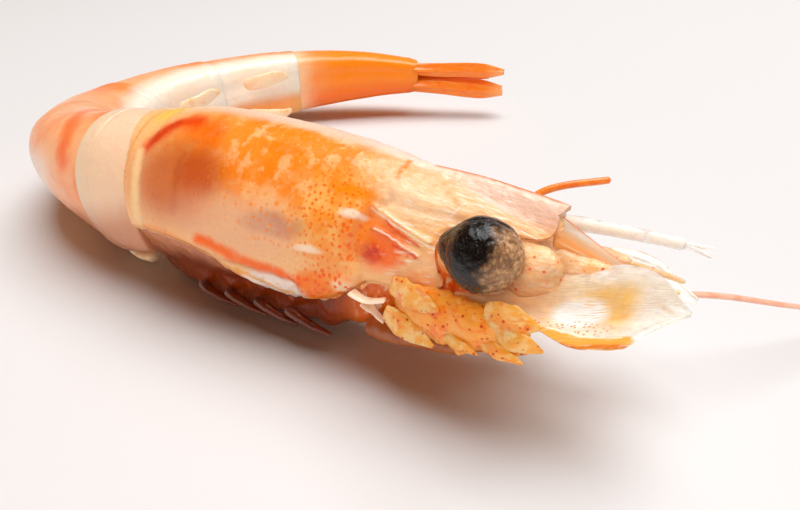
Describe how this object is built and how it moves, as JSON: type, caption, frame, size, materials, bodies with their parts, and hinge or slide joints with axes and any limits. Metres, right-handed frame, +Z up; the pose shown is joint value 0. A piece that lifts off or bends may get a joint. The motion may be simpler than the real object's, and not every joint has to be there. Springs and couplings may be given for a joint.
{
  "type": "cooked whole prawn",
  "caption": "Whole cooked prawn in its shell, lying curled: head with snout, eyes, scales and legs, ringed abdomen, swimming legs and tail fan.",
  "frame": {"origin": "on the resting surface, under the middle of the box of the whole prawn", "axes": "+Z up; the head points to +X and -Y, the back of the head is up, and the tail fan points to +X behind the head"},
  "size_m": [0.0854, 0.0738, 0.0149],
  "materials": {
    "shell": "wet cooked shell, pale peach orange with small orange dots, thin and slightly clear",
    "flesh": "wet cooked flesh and gills seen under the shell, cream to red-orange",
    "eye": "glossy wet black eye, grey-brown and clearer on its front",
    "blade": "thin clear plates of the antennal scales, with an orange outer edge",
    "limb": "pale, slightly clear legs, mouthparts and swimming legs",
    "antenna": "pink-orange whip antenna and its broken piece",
    "ring": "peach rings of the abdomen with orange bands at their edges",
    "tail": "red-orange tail fan"
  },
  "bodies": {
    "root": {"head_shell": "shell", "thorax": "flesh", "eye_right": "eye", "antennule_right": "limb", "scale_right": "blade", "antenna_base_right": "shell", "maxilliped_right": "limb", "eye_left": "eye", "antennule_left": "limb", "scale_left": "blade", "antenna_base_left": "shell", "maxilliped_left": "limb", "antenna_whip": "antenna", "feeler_stub": "antenna", "leg_left_1": "limb", "leg_left_2": "limb", "leg_right_2": "limb", "leg_left_3": "limb", "leg_right_3": "limb", "leg_left_4": "limb", "leg_right_4": "limb", "leg_left_5": "limb", "leg_right_5": "limb", "torn_strip_1": "limb", "torn_strip_2": "limb", "abdomen_1": "ring", "swimmeret_right_1": "limb", "swimmeret_left_1": "limb", "abdomen_2": "ring", "swimmeret_right_2": "limb", "swimmeret_left_2": "limb", "abdomen_3": "ring", "swimmeret_right_3": "limb", "swimmeret_left_3": "limb", "abdomen_4": "ring", "swimmeret_right_4": "limb", "swimmeret_left_4": "limb", "abdomen_5": "ring", "swimmeret_right_5": "limb", "swimmeret_left_5": "limb", "abdomen_6": "ring", "telson": "tail", "uropod_right_inner": "tail", "uropod_right_outer": "tail", "uropod_left_inner": "tail", "uropod_left_outer": "tail"}
  },
  "joints": []
}
